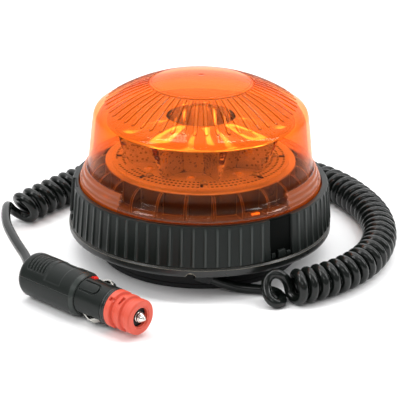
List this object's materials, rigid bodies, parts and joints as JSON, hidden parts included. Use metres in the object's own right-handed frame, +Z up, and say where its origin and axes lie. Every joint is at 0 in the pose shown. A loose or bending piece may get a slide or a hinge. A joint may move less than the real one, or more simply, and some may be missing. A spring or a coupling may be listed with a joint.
{
  "type": "led safety flare",
  "caption": "Round amber beacon with a ribbed locking ring and magnetic foot, a coiled cable and a lighter plug with a pull-off red adapter.",
  "frame": {"origin": "middle of the beacon's foot, on the floor", "axes": "+Z up through the lens, -Y towards the side that the cable leaves, +X to the right seen from that side"},
  "size_m": [0.2433, 0.2641, 0.111],
  "materials": {
    "black_plastic": "satin moulded",
    "black_rubber": "matt",
    "cable_jacket": "glossy",
    "steel": "zinc plated",
    "ferrite": "sintered",
    "brass_screw": "plated",
    "amber_lens": "clear amber plastic",
    "aluminium": "bare sheet",
    "board_mask": "printed circuit board",
    "led_yellow": "phosphor under clear resin",
    "component_black": "moulded",
    "chrome_plating": "metallised",
    "nickel": "nickel plated",
    "red_plastic": "satin moulded",
    "red_clear": "clear red",
    "fuse_glass": "glass with metal caps"
  },
  "bodies": {
    "beacon": {"foot_boot": "black_rubber", "magnet_pot": "steel", "ring_magnet": "ferrite", "base_housing": "black_plastic", "shelf_screws": "brass_screw", "lens_seal": "black_rubber", "lens_dome": "amber_lens", "mounting_plate": "aluminium", "led_board": "board_mask", "led_packages": "led_yellow", "led_resistors": "component_black", "board_screws": "steel", "reflector": "chrome_plating", "driver_board": "board_mask", "driver_standoffs": "black_plastic", "driver_capacitors": "component_black", "driver_inductor": "component_black", "terminal_block": "component_black", "cord_lead": "cable_jacket", "cord_coil": "cable_jacket", "cord_tail": "cable_jacket", "cable_gland": "black_rubber", "plug_upper_shell": "black_plastic", "plug_lower_shell": "black_plastic", "plug_grommet": "black_rubber", "plug_barrel": "black_plastic", "barrel_collar": "black_plastic", "plug_nose": "black_plastic", "fuse": "fuse_glass", "indicator_lens": "red_clear", "pin_spring": "steel"},
    "lock_ring": {"locking_ring": "black_plastic", "lock_screws": "black_plastic"},
    "adapter_body": {"adapter": "red_plastic"},
    "pin_body": {"centre_pin": "nickel"},
    "far_contact": {"side_contact_far": "nickel"},
    "near_contact": {"side_contact_near": "nickel"}
  },
  "joints": [
    {"name": "ring_turn", "type": "hinge", "parent": "beacon", "child": "lock_ring", "pos_m": [0, 0, 0.0333], "axis": [0, 0, 1], "range_deg": [0, 40]},
    {"name": "adapter_pull", "type": "slide", "parent": "beacon", "child": "adapter_body", "axis": [0.7441, -0.6681, 0], "range_m": [0, 0.025]},
    {"name": "pin_press", "type": "slide", "parent": "beacon", "child": "pin_body", "axis": [-0.7441, 0.6681, 0], "range_m": [0, 0.003], "stiffness_N_per_m": 500, "springref_m": -0.002, "deforming": ["pin_spring"]},
    {"name": "far_contact_press", "type": "hinge", "parent": "beacon", "child": "far_contact", "pos_m": [-0.056, -0.09514, 0.01999], "axis": [0.4965, 0.553, -0.6691], "range_deg": [0, 6], "stiffness_Nm_per_rad": 0.4, "springref_deg": -2.86},
    {"name": "near_contact_press", "type": "hinge", "parent": "beacon", "child": "near_contact", "pos_m": [-0.06441, -0.1045, 0.00601], "axis": [-0.4965, -0.553, 0.6691], "range_deg": [0, 6], "stiffness_Nm_per_rad": 0.4, "springref_deg": -2.86}
  ]
}
